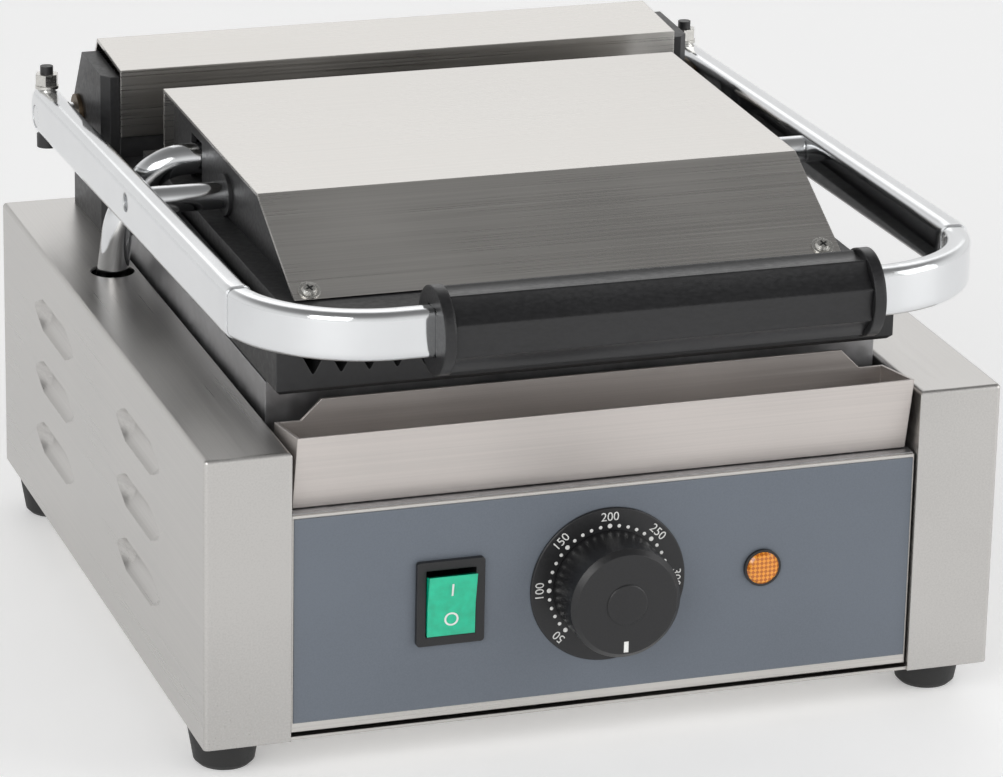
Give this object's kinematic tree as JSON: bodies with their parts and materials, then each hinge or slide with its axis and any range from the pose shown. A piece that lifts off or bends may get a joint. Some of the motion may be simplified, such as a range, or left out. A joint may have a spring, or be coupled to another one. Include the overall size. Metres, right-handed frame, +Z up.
{
  "type": "panini press",
  "caption": "Countertop contact grill with grooved cast plates, a sloped steel cover, a chromed lifting handle, side louvres, a dial, a rocker switch and a drip tray.",
  "frame": {"origin": "on the floor under the middle of the closed grill", "axes": "+X to the right, +Y to the back, +Z up, seen from the front with the controls facing the viewer"},
  "size_m": [0.29, 0.3502, 0.1879],
  "materials": {
    "brushed_steel": "stainless sheet with a fine straight grain",
    "inner_steel": "plain galvanised sheet",
    "grey_panel": "satin blue-grey coating",
    "cast_iron": "black seasoned casting",
    "chrome": "polished chrome plate",
    "zinc": "bright zinc plate",
    "black_steel": "black heat-proof paint",
    "bush_bronze": "sintered bronze",
    "core_steel": "plain dark steel",
    "black_grip": "moulded black phenolic",
    "black_plastic": "moulded black plastic",
    "green_rocker": "clear green rocker cap",
    "amber_lens": "faceted amber lens",
    "black_rubber": "black rubber",
    "wool": "mineral wool board"
  },
  "bodies": {
    "base": {"side_housing_left": "brushed_steel", "side_housing_right": "brushed_steel", "base_pan": "brushed_steel", "rear_panel": "brushed_steel", "front_panel": "brushed_steel", "panel_overlay": "grey_panel", "feet": "black_rubber", "foot_screws": "zinc", "rocker_housing": "black_plastic", "dial_ring": "black_plastic", "thermostat_body": "inner_steel", "thermostat_bulb": "inner_steel", "lamp_holder": "black_plastic", "lamp_lens": "amber_lens", "terminal_block": "black_plastic", "tray_shelf": "inner_steel", "lower_plate": "cast_iron", "lower_heater": "core_steel", "lower_heater_clamp": "inner_steel", "plate_carrier": "inner_steel", "mineral_wool": "wool", "cross_rails": "inner_steel", "hinge_bracket_left": "black_steel", "hinge_bracket_right": "black_steel", "shaft_bush_left": "bush_bronze", "shaft_bush_right": "bush_bronze", "rear_housing": "brushed_steel", "hinge_box": "black_steel", "counter_spring_left": "core_steel", "counter_spring_right": "core_steel", "cable_gland": "black_plastic"},
    "tray": {"drip_tray": "brushed_steel"},
    "knob": {"temperature_knob": "black_plastic", "thermostat_stem": "inner_steel"},
    "rocker": {"power_rocker": "green_rocker"},
    "handle": {"hinge_shaft": "chrome", "handle_arm_left": "chrome", "handle_arm_right": "chrome", "handle_elbow_left": "chrome", "handle_elbow_right": "chrome", "handle_core": "core_steel", "grip_sleeve": "black_grip", "grip_collar_left": "black_grip", "grip_collar_right": "black_grip", "clamp_bolts": "zinc", "clamp_washers": "zinc", "clamp_nuts": "zinc", "pivot_pin_left": "chrome", "pivot_pin_right": "chrome", "conduit_tube": "chrome"},
    "platen": {"upper_plate": "cast_iron", "upper_heater": "core_steel", "upper_heater_clamp": "inner_steel", "upper_cover": "brushed_steel", "cheek_left": "black_steel", "cheek_right": "black_steel", "cover_screws": "zinc", "cover_washers": "zinc", "pivot_bush_left": "black_steel", "pivot_bush_right": "black_steel"}
  },
  "joints": [
    {"name": "lid_lift", "type": "hinge", "parent": "base", "child": "handle", "pos_m": [0, 0.1486, 0.158], "axis": [-1, 0, 0], "range_deg": [0, 60]},
    {"name": "platen_tilt", "type": "hinge", "parent": "handle", "child": "platen", "pos_m": [0, 0.0101, 0.1655], "axis": [-1, 0, 0], "range_deg": [-1.8, 0]},
    {"name": "tray_slide", "type": "slide", "parent": "base", "child": "tray", "axis": [0, -1, 0], "range_m": [0, 0.045]},
    {"name": "knob_turn", "type": "hinge", "parent": "base", "child": "knob", "pos_m": [0, -0.14, 0.0599], "axis": [0, 1, 0], "range_deg": [0, 270]},
    {"name": "rocker_press", "type": "hinge", "parent": "base", "child": "rocker", "pos_m": [-0.0576, -0.1323, 0.0599], "axis": [-1, 0, 0], "range_deg": [0, 12]}
  ],
  "couplings": [
    {"joint": "platen_tilt", "follows": "lid_lift", "ratio": -0.03}
  ]
}
